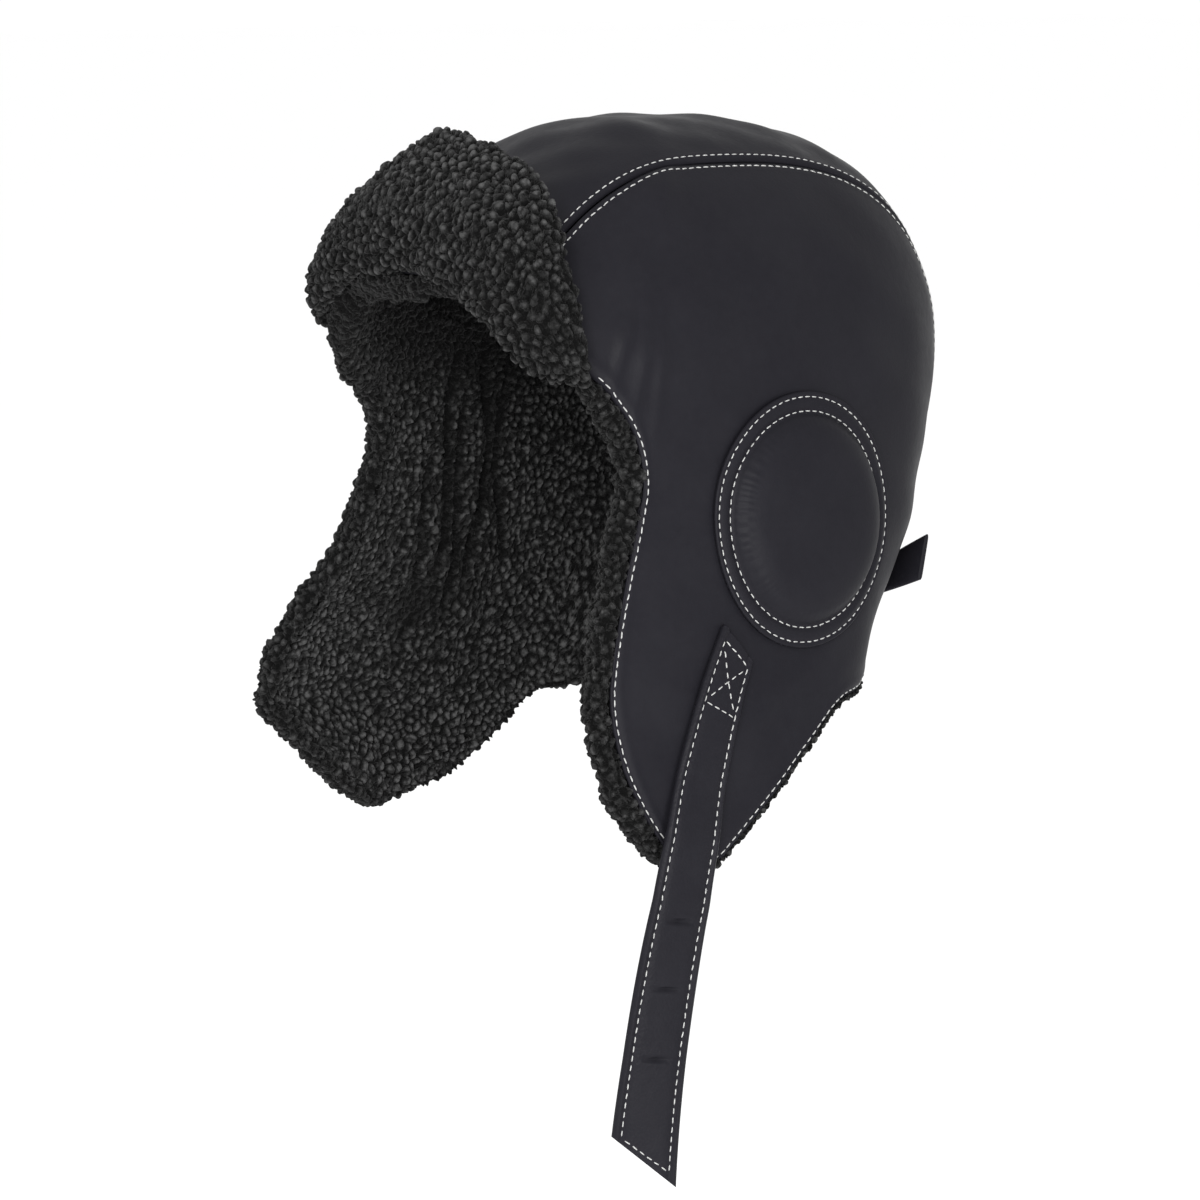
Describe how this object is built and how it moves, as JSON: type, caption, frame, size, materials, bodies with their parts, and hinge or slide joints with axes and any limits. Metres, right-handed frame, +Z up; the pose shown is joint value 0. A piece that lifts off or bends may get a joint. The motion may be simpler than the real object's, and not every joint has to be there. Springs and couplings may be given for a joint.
{
  "type": "aviator hat",
  "caption": "Leather aviator hat lined with thick fleece, with a turned-up front flap, ear flaps, round ear pads, a chin strap, a buckle strap and an adjusting strap at the nape",
  "frame": {"origin": "where the top of the head bears on the lining, at the inner top of the crown, on its middle line", "axes": "+Z up along the wearer's head, -Y out of the face opening, +X to the wearer's left, the side of the chin strap"},
  "size_m": [0.2265, 0.2324, 0.382],
  "materials": {
    "leather": "soft satin garment leather, charcoal black, fine grain, light topstitching",
    "strap_leather": "firm satin leather with a fold at its edge, charcoal black, light topstitching",
    "fleece": "curly shearling-like pile in small nubs, dark charcoal, matt",
    "steel": "dark nickel-plated wire"
  },
  "bodies": {
    "root": {"crown_centre_panel": "leather", "side_panel_left": "leather", "side_panel_right": "leather", "fleece_lining": "fleece", "front_flap_fleece": "fleece", "front_flap_backing": "leather", "ear_pad_left": "leather", "ear_pad_right": "leather", "chin_strap": "strap_leather", "buckle_strap": "strap_leather", "nape_tab": "strap_leather", "nape_strap": "strap_leather", "buckle": "steel", "nape_buckle": "steel"}
  },
  "joints": []
}
